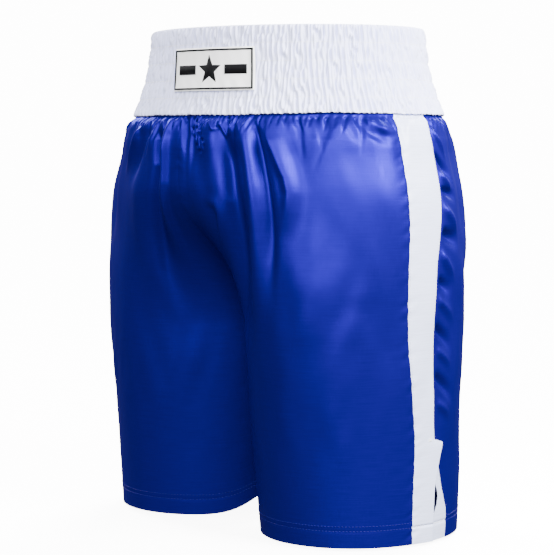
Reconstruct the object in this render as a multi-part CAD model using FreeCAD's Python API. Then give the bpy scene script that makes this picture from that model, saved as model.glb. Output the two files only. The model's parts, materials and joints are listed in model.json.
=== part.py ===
"""Boxing shorts: wide gathered elastic waistband, satin legs, side stripes and open side vents.

Frame in millimetres: +Z up, front towards -Y, the wearer's left towards +X.
The origin is at floor level under the middle of the garment, which stands on its two leg hems.
Every cloth piece of the body is a thin slab laid on one garment surface. That surface is
written for the wearer's left half and mirrored for the right. At each height, u runs from the
centre front or inseam (u = 0) round the side (u = 0.5) to the centre back or inseam (u = 1).
"""

import FreeCAD
import Part

import math
import os

Vector = FreeCAD.Vector

# Driving heights
TOTAL_HEIGHT = 525.0
BAND_HEIGHT = 91.0
CROTCH_HEIGHT = 215.0
RISE_CURVE_HEIGHT = 150.0
RISE_SOFTNESS = 1.15
VENT_HEIGHT = 103.0
HEM_HEIGHT = 25.0
WAIST_SEAM_Z = TOTAL_HEIGHT - BAND_HEIGHT

# Sections of the garment: (height, half width, half depth)
BODY_SECTIONS = (
    (0.0, 209.0, 121.0),
    (95.0, 209.0, 130.0),
    (190.0, 212.0, 141.0),
    (280.0, 217.0, 153.0),
    (345.0, 214.0, 160.0),
    (400.0, 200.0, 159.0),
    (WAIST_SEAM_Z, 184.0, 148.0),
)
BAND_SECTIONS = (
    (WAIST_SEAM_Z, 184.0, 148.0),
    (478.0, 167.5, 136.0),
    (TOTAL_HEIGHT, 159.5, 130.5),
)
LEG_DEPTH_SHARE = 0.915
LEG_GAP_AT_HEM = 22.0
HIP_SQUARENESS = 0.3
HIP_TURN = 0.095

# Cloth layers and the gaps between them
CLOTH = 1.0
LAYER_GAP = 0.3
SEAM_GAP = 0.3
HINGE_GAP = 0.5
THREAD_WIDTH = 0.9
THREAD_THICKNESS = 0.5
THREAD_LIFT = 0.25
SEAM_ALLOWANCE = 9.0
ROW_SPACING = 11.0

# Edges of the side stripe: (height, distance round the side from the side line, towards the back)
STRIPE_FRONT = (
    (0.0, -25.5),
    (50.0, -24.3),
    (VENT_HEIGHT, -23.0),
    (150.0, -28.0),
    (205.0, -35.0),
    (270.0, -37.5),
    (330.0, -34.0),
    (WAIST_SEAM_Z, -28.0),
)
STRIPE_BACK = (
    (VENT_HEIGHT, 4.0),
    (150.0, 2.5),
    (190.0, 0.5),
    (240.0, 1.0),
    (285.0, 6.0),
    (335.0, 13.0),
    (WAIST_SEAM_Z, 17.0),
)
VENT_FLARE = 25.0
FOLD_ROUNDING = 0.12
SLIT_AT_HEM = 2.0
SLIT_AT_TOP = 0.0
SLIT_GAP = 0.8
SLIT_BULGE = 3.5

# Waistband channels
CHANNELS = 5
BAND_ROWS = 5
ELASTIC_HEIGHT = 13.5
ELASTIC_THICKNESS = 1.5
BAND_SPACE = 2.4

# Front label
LABEL_LEFT = -22.0
LABEL_RIGHT = 84.0
LABEL_HEIGHT = 44.0
LABEL_LIFT = 0.9
LABEL_BORDER = 1.8
LABEL_MARGIN = 1.6
STAR_RADIUS = 13.0
BAR_LENGTH = 24.0
BAR_HEIGHT = 7.0


def through(knots, z):
    """Smooth value at z of a curve that passes through the knots (z, value)."""
    if z <= knots[0][0]:
        return knots[0][1]
    if z >= knots[-1][0]:
        return knots[-1][1]
    i = max(k for k in range(len(knots) - 1) if knots[k][0] <= z)

    def slope(k):
        low, high = max(k - 1, 0), min(k + 1, len(knots) - 1)
        return (knots[high][1] - knots[low][1]) / (knots[high][0] - knots[low][0])

    (z0, y0), (z1, y1) = knots[i], knots[i + 1]
    h = z1 - z0
    s = (z - z0) / h
    return (
        (2 * s**3 - 3 * s**2 + 1) * y0
        + (s**3 - 2 * s**2 + s) * h * slope(i)
        + (3 * s**2 - 2 * s**3) * y1
        + (s**3 - s**2) * h * slope(i + 1)
    )


def half_sizes(sections, z):
    """Half width and half depth at a height."""
    widths = [(h, a) for h, a, _ in sections]
    depths = [(h, b) for h, _, b in sections]
    return through(widths, z), through(depths, z)


def clamped(value):
    return min(1.0, max(0.0, value))


def torso_point(u, z):
    """Hip section: an ellipse at the waist seam, a little squarer lower down."""
    a, b = half_sizes(BODY_SECTIONS, z)
    power = 2 + HIP_SQUARENESS * clamped((WAIST_SEAM_Z - z) / 150)
    angle = math.pi * u - HIP_TURN * math.sin(2 * math.pi * u)
    sine, cosine = abs(math.sin(angle)), abs(math.cos(angle))
    radius = ((sine / a) ** power + (cosine / b) ** power) ** (-1 / power)
    return radius * math.sin(angle), -radius * math.cos(angle)


def leg_point(u, z):
    """Leg section: a closed oval, from the inseam round the front, side and back."""
    a, b = half_sizes(BODY_SECTIONS, z)
    gap = SEAM_GAP / 2 + LEG_GAP_AT_HEM / 2 * clamped(1 - z / CROTCH_HEIGHT)
    middle, half = (a + gap) / 2, (a - gap) / 2
    x = middle - half * math.cos(2 * math.pi * u)
    y = -b * LEG_DEPTH_SHARE * math.sin(2 * math.pi * u)
    return x, y


def skin(u, z):
    """Point of the garment's outer skin on the wearer's left half."""
    torso = math.sin(math.pi / 2 * clamped((z - CROTCH_HEIGHT) / RISE_CURVE_HEIGHT)) ** RISE_SOFTNESS
    tx, ty = torso_point(u, z)
    lx, ly = leg_point(u, z)
    x = torso * tx + (1 - torso) * lx
    y = torso * ty + (1 - torso) * ly
    return Vector(max(x, SEAM_GAP / 2), y, z)


def outward(u, z):
    """Level direction out of the cloth."""
    step = 1e-3
    along = skin(min(1 - step, max(step, u)) + step, z) - skin(min(1 - step, max(step, u)) - step, z)
    return Vector(along.y, -along.x, 0).normalize()


def layer(u, z, depth):
    """Point at a distance outside the skin, or inside where it is negative."""
    return skin(u, z) + outward(u, z) * depth


def side_u(distance, z):
    """u at a distance round the side from the side line."""
    step = 1e-3
    speed = (skin(0.5 + step, z) - skin(0.5 - step, z)).Length / (2 * step)
    return 0.5 + distance / speed


def at_side(distance):
    """A slab edge that stays at one distance from the side line."""
    return lambda z: side_u(distance, z)


def at_u(u):
    return lambda z: u


def cap(first, second):
    """Flat face between two edges in one level plane."""
    sides = [
        Part.makeLine(first.firstVertex().Point, second.firstVertex().Point),
        Part.makeLine(first.lastVertex().Point, second.lastVertex().Point),
    ]
    return Part.Face(Part.Wire(Part.__sortEdges__([first, second] + sides)))


def slab(left, right, low, high, outer, inner, across=24):
    """Closed solid between two depths of the skin, from height low to high.

    left and right give u at each height.
    """
    along = max(3, round((high - low) / ROW_SPACING))
    walls = []
    for depth in (outer, inner):
        grid = []
        for j in range(along + 1):
            z = low + (high - low) * j / along
            a, b = left(z), right(z)
            grid.append([layer(a + (b - a) * i / across, z, depth) for i in range(across + 1)])
        wall = Part.BSplineSurface()
        wall.interpolate(grid)
        walls.append(wall)
    out, ins = walls
    u0, u1, v0, v1 = out.bounds()
    w0, w1, x0, x1 = ins.bounds()
    faces = [out.toShape(), ins.toShape()]
    same_way = 1
    faces.append(Part.makeRuledSurface(out.vIso(v0).toShape(), ins.vIso(x0).toShape(), same_way))
    faces.append(Part.makeRuledSurface(out.vIso(v1).toShape(), ins.vIso(x1).toShape(), same_way))
    faces.append(cap(out.uIso(u0).toShape(), ins.uIso(w0).toShape()))
    faces.append(cap(out.uIso(u1).toShape(), ins.uIso(w1).toShape()))
    shell = Part.makeShell(faces)
    shell.sewShape()
    solid = Part.makeSolid(shell)
    if solid.Volume < 0:
        solid.reverse()
    return solid


def mirrored(shape):
    """The same piece on the wearer's right."""
    return shape.mirror(Vector(0, 0, 0), Vector(1, 0, 0))


def write(name, *solids):
    """Writes one node's STEP file, after testing each solid."""
    for s in solids:
        if not s.isValid() or s.Volume <= 0 or len(s.Solids) != 1:
            print("BAD SOLID", name, s.isValid(), s.Volume, len(s.Solids))
    shape = solids[0] if len(solids) == 1 else Part.makeCompound(list(solids))
    shape.exportStep(os.path.join("parts", name + ".step"))


def write_pair(name, *solids):
    """Writes the left piece and its mirror image on the right."""
    write(name + "_left", *solids)
    write(name + "_right", *(mirrored(s) for s in solids))


def column(depth):
    """Solid column whose wall lies at a depth of the waistband's skin."""
    wires = []
    for i in range(BAND_ROWS + 1):
        z = WAIST_SEAM_Z + BAND_HEIGHT * i / BAND_ROWS
        a, b = half_sizes(BAND_SECTIONS, z)
        ring = Part.Ellipse(Vector(0, 0, z), a + depth, b + depth)
        wires.append(Part.Wire(ring.toShape()))
    return Part.makeLoft(wires, True, False)


def band_ring(low, high, outer, inner):
    """Closed ring of the waistband between two heights and two depths."""
    level = Part.makeBox(500, 500, high - low, Vector(-250, -250, low))
    return column(outer).cut(column(inner)).common(level)


def front_window(left, right, low, high):
    """Box that cuts a patch out of the front of the waistband."""
    return Part.makeBox(right - left, 200, high - low, Vector(left, -200, low))


def build_waistband():
    """Gathered casing, elastic strips in its channels, lining, and rows of stitching."""
    low, high = WAIST_SEAM_Z, TOTAL_HEIGHT
    write("waistband_outer", band_ring(low, high, 0, -CLOTH))
    lining = -CLOTH - BAND_SPACE
    write("waistband_lining", band_ring(low, high - 1, lining, lining - CLOTH))
    pitch = BAND_HEIGHT / CHANNELS
    middle = -CLOTH - BAND_SPACE / 2
    for i in range(CHANNELS):
        centre = low + pitch * (i + 0.5)
        half = ELASTIC_HEIGHT / 2
        outer, inner = middle + ELASTIC_THICKNESS / 2, middle - ELASTIC_THICKNESS / 2
        write("waist_elastic_%d" % (i + 1), band_ring(centre - half, centre + half, outer, inner))
    rows = [band_thread(low + pitch * i) for i in range(1, CHANNELS)]
    write("waistband_stitching", *rows)
    write("waist_seam_stitching", band_thread(low + 1.5))


def band_thread(z):
    outer = THREAD_LIFT + THREAD_THICKNESS
    return band_ring(z - THREAD_WIDTH / 2, z + THREAD_WIDTH / 2, outer, THREAD_LIFT)


def star(x, z, radius):
    """Solid five-pointed star that stands through the front of the waistband."""
    points = []
    for i in range(11):
        reach = radius if i % 2 == 0 else radius * 0.42
        angle = math.pi / 2 + math.pi * i / 5
        points.append(Vector(x + reach * math.cos(angle), -200, z + reach * math.sin(angle)))
    return Part.Face(Part.makePolygon(points)).extrude(Vector(0, 200, 0))


def build_labels():
    """Front patch with a plain border, star and bars, and a blank size tab inside the back."""
    low = WAIST_SEAM_Z + (BAND_HEIGHT - LABEL_HEIGHT) / 2
    high = low + LABEL_HEIGHT
    face = LABEL_LIFT + CLOTH
    ring = band_ring(low, high, face, LABEL_LIFT)
    write("front_label", ring.common(front_window(LABEL_LEFT, LABEL_RIGHT, low, high)))

    thread = band_ring(low, high, face + 0.7, face + 0.1)
    outside, inside = LABEL_MARGIN, LABEL_MARGIN + LABEL_BORDER
    frame = front_window(LABEL_LEFT + outside, LABEL_RIGHT - outside, low + outside, high - outside)
    hole = front_window(LABEL_LEFT + inside, LABEL_RIGHT - inside, low + inside, high - inside)
    write("front_label_border", thread.common(frame.cut(hole)))

    centre_x, centre_z = (LABEL_LEFT + LABEL_RIGHT) / 2, (low + high) / 2
    shapes = [star(centre_x, centre_z - 1, STAR_RADIUS)]
    for side in (-1, 1):
        start = centre_x + side * (STAR_RADIUS + 5) - (BAR_LENGTH if side < 0 else 0)
        shapes.append(
            front_window(start, start + BAR_LENGTH, centre_z - BAR_HEIGHT / 2, centre_z + BAR_HEIGHT / 2)
        )
    write("front_label_emblem", *(thread.common(s) for s in shapes))

    back = -2 * CLOTH - BAND_SPACE - 0.4
    tab_ring = band_ring(high - 10, high + 20, back, back - 0.8)
    write("size_tab", tab_ring.common(Part.makeBox(34, 200, 30, Vector(-17, 0, high - 10))))


INSEAM_U = 0.0006
THREAD_U = 0.006


def stripe_front_edge(offset):
    """Front edge of the stripe, moved towards the back by an offset."""
    return lambda z: side_u(through(STRIPE_FRONT, z) + offset, z)


def stripe_back_edge(offset):
    """Back edge of the stripe, which slants away towards the back beside the vent."""

    def edge(z):
        below = 1 - z / VENT_HEIGHT
        spread = (math.hypot(below, FOLD_ROUNDING) + below) / 2
        return side_u(through(STRIPE_BACK, z) + offset + VENT_FLARE * spread, z)

    return edge


def slit(opening):
    """The front flap's free edge, or with an opening, the back flap's."""

    def edge(z):
        share = z / VENT_HEIGHT
        front = SLIT_AT_HEM + (SLIT_AT_TOP - SLIT_AT_HEM) * share
        gap = SLIT_GAP + SLIT_BULGE * math.sin(math.pi * share) ** 2 * (1 - share)
        return side_u(front + gap * opening, z)

    return edge


def build_body():
    """The four blue panels and the two stripes."""
    edge = SEAM_GAP / 2
    top = WAIST_SEAM_Z - SEAM_GAP
    front_end = stripe_front_edge(-HINGE_GAP / 2)
    write_pair("front_panel", slab(at_u(INSEAM_U), front_end, 0, top, 0, -CLOTH))
    back_start = stripe_back_edge(HINGE_GAP / 2)
    write_pair("back_panel", slab(back_start, at_u(1 - INSEAM_U), 0, top, 0, -CLOTH))
    sides = (stripe_front_edge(edge), stripe_back_edge(-HINGE_GAP / 2))
    low = VENT_HEIGHT + HINGE_GAP
    write_pair("side_stripe", slab(*sides, low, top, 0, -CLOTH, across=6))


def build_hems():
    """Turned-up hems inside the panels and their two rows of stitching."""
    outer = -CLOTH - LAYER_GAP
    front = (at_u(INSEAM_U), stripe_front_edge(-HINGE_GAP / 2))
    back = (stripe_back_edge(HINGE_GAP / 2), at_u(1 - INSEAM_U))
    write_pair("front_hem", slab(*front, LAYER_GAP, HEM_HEIGHT, outer, outer - CLOTH))
    write_pair("back_hem", slab(*back, LAYER_GAP, HEM_HEIGHT, outer, outer - CLOTH))
    rows = []
    for low in (HEM_HEIGHT - 2.5, HEM_HEIGHT - 7):
        rows.append(skin_thread(at_u(THREAD_U), front[1], low))
        rows.append(skin_thread(back[0], at_u(1 - THREAD_U), low))
    write_pair("hem_stitching", *rows)


def skin_thread(left, right, low, across=24):
    """A row of stitching round the skin."""
    outer = THREAD_LIFT + THREAD_THICKNESS
    return slab(left, right, low, low + THREAD_WIDTH, outer, THREAD_LIFT, across=across)


def build_vents():
    """Flaps in front of and behind the slit, each with its hem, facing and stitching."""
    front = (stripe_front_edge(HINGE_GAP / 2), slit(0))
    back = (slit(1), stripe_back_edge(-HINGE_GAP / 2))
    outer = -CLOTH - LAYER_GAP
    for name, sides in (("vent_front_flap", front), ("vent_back_flap", back)):
        write_pair(name, slab(*sides, 0, VENT_HEIGHT, 0, -CLOTH, across=6))
        hem = slab(*sides, LAYER_GAP, HEM_HEIGHT, outer, outer - CLOTH, across=6)
        write_pair(name + "_hem", hem)
        write_pair(name + "_stitching", skin_thread(*sides, HEM_HEIGHT - 7, across=6))
    tack = (at_side(SLIT_AT_TOP - 5), at_side(SLIT_AT_TOP + 1.5))
    low = VENT_HEIGHT + HINGE_GAP + 1
    write_pair("vent_bar_tack", slab(*tack, low, low + 2.5, 1.1, THREAD_LIFT, across=3))


def round_from(u, distance):
    """A slab edge at a distance round the skin from the line at u."""

    def edge(z):
        step = 1e-3
        speed = (skin(u + step, z) - skin(u - step, z)).Length / (2 * step)
        return u + distance / speed

    return edge


def build_seams():
    """Overlocked seam allowances inside, and the stitching beside the stripes outside."""
    outer, inner = -CLOTH - LAYER_GAP, -CLOTH - LAYER_GAP - CLOTH
    top = WAIST_SEAM_Z - SEAM_ALLOWANCE - 3
    rise = (CROTCH_HEIGHT + 12, top, outer, inner)
    write("centre_front_seam", slab(at_u(0.01), round_from(0.01, SEAM_ALLOWANCE), *rise, across=3))
    write("centre_back_seam", slab(round_from(0.99, -SEAM_ALLOWANCE), at_u(0.99), *rise, across=3))
    leg = (HEM_HEIGHT + 2, CROTCH_HEIGHT - 8, outer, inner)
    write_pair("inseam", slab(at_u(0.005), round_from(0.005, SEAM_ALLOWANCE), *leg, across=3))
    side = (VENT_HEIGHT + 10, top, outer, inner)
    gap = SEAM_GAP
    front = (stripe_front_edge(-SEAM_ALLOWANCE), stripe_front_edge(-gap))
    back = (stripe_back_edge(gap), stripe_back_edge(SEAM_ALLOWANCE))
    write_pair("stripe_front_seam", slab(*front, *side, across=3))
    write_pair("stripe_back_seam", slab(*back, *side, across=3))
    waist = (at_u(THREAD_U), at_u(1 - THREAD_U))
    waist_top = WAIST_SEAM_Z - 2 * SEAM_GAP
    deep = (outer - LAYER_GAP, inner - LAYER_GAP)
    allowance = slab(*waist, waist_top - SEAM_ALLOWANCE, waist_top, *deep, across=48)
    write_pair("waist_seam_allowance", allowance)
    inset = 1.5
    low = VENT_HEIGHT + 12
    thread = (low, top, THREAD_LIFT + THREAD_THICKNESS, THREAD_LIFT)
    front = (stripe_front_edge(inset), stripe_front_edge(inset + THREAD_WIDTH))
    back = (stripe_back_edge(-inset - THREAD_WIDTH), stripe_back_edge(-inset))
    write_pair("stripe_stitching", slab(*front, *thread, across=2), slab(*back, *thread, across=2))


def main():
    os.makedirs("parts", exist_ok=True)
    build_waistband()
    build_labels()
    build_body()
    build_hems()
    build_vents()
    build_seams()


main()
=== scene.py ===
"""Boxing shorts in satin: gathered waistband, blue legs, white side stripes and open side vents.

Metres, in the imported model's frame: +Z up, front towards -Y, the wearer's left towards +X.
The cloth is laid on one garment surface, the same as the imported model's. On each half of the
garment, u runs from the centre front or inseam (0) round the side (0.5) to the centre back or
inseam (1). "Place" is the distance round the garment from the centre front, positive on the
wearer's left, and "drop" is the distance below the waist seam.
"""

import json
import math

import bpy
import numpy as np
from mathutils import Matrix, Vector


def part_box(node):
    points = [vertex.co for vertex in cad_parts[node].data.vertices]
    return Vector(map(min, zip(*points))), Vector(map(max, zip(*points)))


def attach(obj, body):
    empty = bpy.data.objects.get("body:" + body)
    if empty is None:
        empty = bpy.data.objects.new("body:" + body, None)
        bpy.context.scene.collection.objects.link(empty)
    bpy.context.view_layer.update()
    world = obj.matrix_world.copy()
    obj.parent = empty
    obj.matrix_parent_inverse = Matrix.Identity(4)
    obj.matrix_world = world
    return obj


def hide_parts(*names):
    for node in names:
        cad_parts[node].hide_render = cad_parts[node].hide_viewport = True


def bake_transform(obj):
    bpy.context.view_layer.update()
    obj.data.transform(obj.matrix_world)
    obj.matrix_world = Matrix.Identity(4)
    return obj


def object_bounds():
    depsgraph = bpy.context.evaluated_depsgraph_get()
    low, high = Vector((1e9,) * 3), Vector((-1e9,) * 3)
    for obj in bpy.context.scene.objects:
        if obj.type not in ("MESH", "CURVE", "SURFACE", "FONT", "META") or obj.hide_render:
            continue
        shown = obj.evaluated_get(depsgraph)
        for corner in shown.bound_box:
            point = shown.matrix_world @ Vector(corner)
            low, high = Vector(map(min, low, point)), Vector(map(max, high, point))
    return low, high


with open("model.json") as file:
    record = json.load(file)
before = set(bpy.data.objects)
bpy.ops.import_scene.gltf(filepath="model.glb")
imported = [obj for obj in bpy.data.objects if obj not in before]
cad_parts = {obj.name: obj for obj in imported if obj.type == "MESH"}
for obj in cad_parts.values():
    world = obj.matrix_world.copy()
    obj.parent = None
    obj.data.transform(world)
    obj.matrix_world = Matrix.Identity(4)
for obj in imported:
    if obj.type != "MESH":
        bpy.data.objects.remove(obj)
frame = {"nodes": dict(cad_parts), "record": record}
cad_box = [list(corner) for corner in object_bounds()]

MM = 0.001
PI = math.pi
ROOT = "shorts"
SIDES = {"left": 1, "right": -1}

# Heights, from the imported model
TOTAL_HEIGHT = cad_box[1][2]
WAIST_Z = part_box("waistband_outer")[0][2]
VENT_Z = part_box("vent_front_flap_left")[1][2]
HEM_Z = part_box("front_hem_left")[1][2]
BAND_HEIGHT = TOTAL_HEIGHT - WAIST_Z
CROTCH_Z = 0.215
RISE_CURVE = 0.150
RISE_SOFTNESS = 1.3

# Sections of the garment: height, half width, half depth
BODY_SECTIONS = (
    (0.0, 0.209, 0.121), (0.095, 0.209, 0.130), (0.190, 0.212, 0.141), (0.280, 0.217, 0.153),
    (0.345, 0.214, 0.160), (0.400, 0.200, 0.159), (WAIST_Z, 0.184, 0.148),
)
BAND_SECTIONS = ((WAIST_Z, 0.184, 0.148), (0.478, 0.1675, 0.136), (TOTAL_HEIGHT, 0.1595, 0.1305))
BAND_SLOPE = (BAND_SECTIONS[0][1] - BAND_SECTIONS[1][1]) / (BAND_SECTIONS[1][0] - WAIST_Z)
LEG_DEPTH_SHARE = 0.915
LEG_GAP_AT_HEM = 0.022
HIP_SQUARENESS = 0.3
HIP_FADE = 0.15
HIP_TURN = 0.095
HALF_ROUND = 0.600
TINY_U = 1e-3

# Edges of the stripe and the vent: height, distance round the side from the side line
STRIPE_FRONT = (
    (0.0, -0.0255), (0.050, -0.0243), (VENT_Z, -0.023), (0.150, -0.028),
    (0.205, -0.035), (0.270, -0.0375), (0.330, -0.034), (WAIST_Z, -0.028),
)
STRIPE_BACK = (
    (0.0, 0.0265), (0.012, 0.0285), (0.030, 0.0285), (0.042, 0.024), (0.056, 0.0185),
    (0.080, 0.0115), (VENT_Z, 0.0055), (0.150, 0.0025), (0.190, 0.0005), (0.240, 0.001),
    (0.285, 0.006), (0.335, 0.013), (WAIST_Z, 0.017),
)
# Free edges of the flaps in front of the slit and behind it
FRONT_FLAP_EDGE = (
    (0.0, 0.002), (0.012, 0.0015), (0.028, 0.0025), (0.055, 0.004),
    (0.066, 0.006), (0.081, 0.010), (VENT_Z, 0.0165),
)
BACK_FLAP_EDGE = (
    (0.0, 0.0025), (0.020, 0.0022), (0.030, 0.0070), (0.038, 0.0108),
    (0.048, 0.0118), (0.062, 0.0070), (VENT_Z, 0.0),
)

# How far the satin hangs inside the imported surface: height, distance
EASE = ((0.0, 0.001), (0.17, 0.0005), (0.25, 0.004), (0.32, 0.0065), (0.37, 0.0045), (0.41, 0.0))
# How far the hems are drawn up, all round each leg and towards the inseam
LEG_RISE = {1: 0.003, -1: 0.005}
INSEAM_RISE = 0.025
INSEAM_REACH = 0.038

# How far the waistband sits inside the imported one, and how far it is pulled to the left rear
BAND_INSET = 2.0 * MM
BAND_SHIFT = np.array([0.9, 0.9, 0.0]) * MM

# The satin's top edge dives under the waistband between these heights, and most folds end
DIVE = (WAIST_Z - 5 * MM, WAIST_Z + 1 * MM)
DIVE_DEPTH = 1.2 * MM
FOLDS_LOST = 0.95

SATIN_THICKNESS = 0.45 * MM
SATIN_ABOVE_WAIST = 7 * MM
PANEL_COLUMNS = 270
STRIPE_COLUMNS = 26
FINE_ROW = 1.3 * MM
COARSE_ROW = 3.2 * MM
HEM_ROW_Z = HEM_Z - 7 * MM
ALLOWANCE = 8 * MM
CHANNELS = 5


# ---- shape functions


def through(knots, z):
    """Smooth curve through the knots (z, value), at an array of heights."""
    x, y = np.array(knots, float).T
    wide_x, wide_y = np.pad(x, 1, "edge"), np.pad(y, 1, "edge")
    slopes = (wide_y[2:] - wide_y[:-2]) / (wide_x[2:] - wide_x[:-2])
    z = np.clip(np.asarray(z, float), x[0], x[-1])
    i = np.clip(np.searchsorted(x, z, side="right") - 1, 0, len(x) - 2)
    h = x[i + 1] - x[i]
    s = (z - x[i]) / h
    bend = s * (1 - s) * ((1 - s) * slopes[i] - s * slopes[i + 1])
    return y[i] + (y[i + 1] - y[i]) * s * s * (3 - 2 * s) + h * bend


def half_sizes(sections, z):
    table = np.array(sections)
    return through(table[:, [0, 1]], z), through(table[:, [0, 2]], z)


def smooth(low, high, x):
    """0 below low, 1 above high, and smooth between them."""
    t = np.clip((x - low) / (high - low), 0, 1)
    return t * t * (3 - 2 * t)


def bell(x, width, power=2):
    """1 at zero, fading to 0 within about two widths on either side."""
    return np.exp(-(np.abs(x / width) ** power))


def unit(vectors):
    return vectors / np.linalg.norm(vectors, axis=-1, keepdims=True)


def from_middle(u):
    """Distance round the garment from the nearer centre seam or inseam."""
    return np.minimum(u, 1 - u) * HALF_ROUND


def skin(u, z):
    """Bare garment surface on the wearer's left half."""
    a, b = half_sizes(BODY_SECTIONS, z)
    power = 2 + HIP_SQUARENESS * np.clip((WAIST_Z - z) / HIP_FADE, 0, 1)
    angle = PI * u - HIP_TURN * np.sin(2 * PI * u)
    sine, cosine = np.abs(np.sin(angle)), np.abs(np.cos(angle))
    radius = ((sine / a) ** power + (cosine / b) ** power) ** (-1 / power)
    gap = LEG_GAP_AT_HEM / 2 * np.clip(1 - z / CROTCH_Z, 0, 1)
    middle, half = (a + gap) / 2, (a - gap) / 2
    leg_x = middle - half * np.cos(2 * PI * u)
    leg_y = -b * LEG_DEPTH_SHARE * np.sin(2 * PI * u)
    torso = np.sin(PI / 2 * np.clip((z - CROTCH_Z) / RISE_CURVE, 0, 1)) ** RISE_SOFTNESS
    x = torso * radius * np.sin(angle) + (1 - torso) * leg_x
    y = -torso * radius * np.cos(angle) + (1 - torso) * leg_y
    return np.stack([x, y, z + 0 * u], -1)


def outward(u, z):
    """Level direction out of the cloth on the wearer's left half."""
    middle = np.clip(u, TINY_U, 1 - TINY_U)
    along = skin(middle + TINY_U, z) - skin(middle - TINY_U, z)
    return unit(np.stack([along[..., 1], -along[..., 0], 0 * along[..., 0]], -1))


def side_speed(z):
    """Distance round the garment for each unit of u, at the side line."""
    ends = skin(np.full_like(z, 0.5 + TINY_U), z) - skin(np.full_like(z, 0.5 - TINY_U), z)
    return np.linalg.norm(ends, axis=-1) / (2 * TINY_U)


def side_u(distance, z):
    """u at a distance round the side from the side line."""
    return 0.5 + distance / side_speed(z)


def seam_edge(knots, extra=0.0):
    """Edge of a piece along one of the lines beside the side, moved towards the back by an extra."""
    return lambda z: side_u(through(knots, z) + extra, z)


class Waves:
    """Smooth seeded noise along one distance, made of a few sine waves."""

    def __init__(self, seed, length, waves=7):
        rng = np.random.default_rng(seed)
        self.rates = 2 * PI / (length * rng.uniform(0.6, 1.9, waves))
        self.phases = rng.uniform(0, 2 * PI, waves)
        self.sizes = rng.uniform(0.5, 1.0, waves)
        self.sizes /= np.sqrt((self.sizes**2).sum() / 2)

    def __call__(self, x):
        x = np.asarray(x)[..., None]
        return (self.sizes * np.sin(x * self.rates + self.phases)).sum(-1)


# ---- folds in the satin

# Soft folds, each along a smooth line of (place, drop) points. Then come its height, or depth
# if negative, its half width, and how much steeper one flank is, if at all. In millimetres.
FOLDS = (
    (((-90, -4), (-104, 12), (-122, 32), (-150, 66)), 4.2, 5, 0.3),
    (((-74, 2), (-100, 40), (-128, 80)), -4.2, 9),
    (((-18, -6), (-28, 26), (-28, 60), (-40, 100), (-66, 190)), 7.5, 11, -0.4),
    (((-66, -4), (-50, 44), (-66, 98), (-86, 161), (-90, 220)), -9.5, 10, 0.3),
    (((-2, -4), (16, 18), (32, 36), (56, 60)), -4.5, 13),
    (((48, 86), (74, 92), (71, 118), (60, 152)), 2.4, 6, 0.3),
    (((80, -6), (95, 60), (101, 110), (98, 170), (94, 240)), -12.0, 15, 0.2),
    (((115, -6), (123, 45), (129, 95), (132, 155), (134, 230)), 5.5, 12),
    (((126, -8), (139, 44), (147, 83), (151, 134), (151, 200)), -8.5, 8, -0.3),
    (((140, 4), (154, 38), (168, 68), (168, 90), (158, 122)), 5.5, 9, 0.45),
    (((168, 6), (178, 60), (181, 101), (178, 170)), -3.4, 11),
    (((214, 2), (206, 46), (212, 96)), 1.2, 17),
    (((228, 176), (252, 221), (272, 270)), -1.4, 16, 0.3),
    (((190, 150), (222, 196), (246, 250)), 1.0, 20),
    (((56, -2), (62, 8), (70, 14), (77, 9), (84, -10)), 1.8, 1.9),
    (((74, -2), (80, 12), (88, 21), (95, 10), (104, -14)), 2.0, 2.0),
    (((234, 0), (248, 18), (268, 30)), -3.0, 5, 0.3),
    (((246, 0), (258, 12), (272, 18)), 2.4, 4),
    (((-96, 40), (-104, 120), (-98, 240)), 3.0, 20),
    (((-190, 4), (-196, 70), (-190, 170)), -5.0, 14, 0.2),
    (((-236, 4), (-232, 80), (-240, 190)), 4.5, 16),
    (((362, 4), (356, 70), (350, 160)), -5.0, 14),
    (((372, 120), (385, 200), (388, 290), (384, 390)), -8.0, 30),
    (((408, 6), (418, 80), (414, 190)), 3.0, 17, 0.3),
    (((452, 2), (450, 90), (440, 210)), -6.5, 15, -0.3),
    (((503, 8), (500, 70), (494, 160)), 5.0, 15),
    (((552, 2), (550, 70), (556, 190)), -5.0, 14, 0.2),
    (((590, 6), (596, 70), (588, 170)), 4.0, 14),
    (((-372, 6), (-360, 80), (-356, 170)), 5.0, 15),
    (((-420, 2), (-426, 80), (-418, 190)), -6.0, 15, 0.3),
    (((-470, 6), (-462, 70), (-458, 200)), 5.5, 16, -0.3),
    (((-530, 2), (-536, 80), (-530, 180)), -5.5, 14),
)
# Small crossways creases that the long seam behind each stripe draws up: how far behind the
# seam and how far down each starts, how far it runs back and down, its height and half width
REAR_CREASES = (
    (2, 14, 22, 26, 3.0, 5.0), (2, 40, 26, 22, -3.2, 5.0), (3, 58, 20, 18, 3.0, 4.5),
    (2, 74, 28, 8, -2.6, 4.0), (2, 92, 30, 22, 3.2, 6.5), (3, 118, 30, 10, -3.4, 6.0),
    (2, 138, 26, 24, 3.2, 6.0), (3, 166, 22, 10, -2.4, 5.0), (2, 184, 30, 18, 2.6, 6.0),
    (2, 212, 26, 20, -2.6, 6.0), (3, 236, 24, 14, 2.2, 5.0), (2, 262, 28, 22, -2.4, 6.5),
    (2, 290, 22, 12, 1.8, 5.0),
)
FLY_LINE = ((24, 4), (32, 17), (52, 35))


def wrapped(place):
    """Distance round the whole garment, between half of it each way."""
    whole = 2 * HALF_ROUND
    return (place + HALF_ROUND) % whole - HALF_ROUND


def run_along(points):
    """Distance of each point from the first, measured along their line."""
    return np.concatenate([[0], np.cumsum(np.linalg.norm(np.diff(points, axis=0), axis=1))])


def smooth_line(points):
    """Evenly spread points of a smooth line through a few given ones."""
    p = np.array(points, float) * MM
    run = run_along(p)
    at = np.linspace(0, run[-1], 9)
    return np.stack([through(list(zip(run, p[:, k])), at) for k in range(2)], -1)


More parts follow.
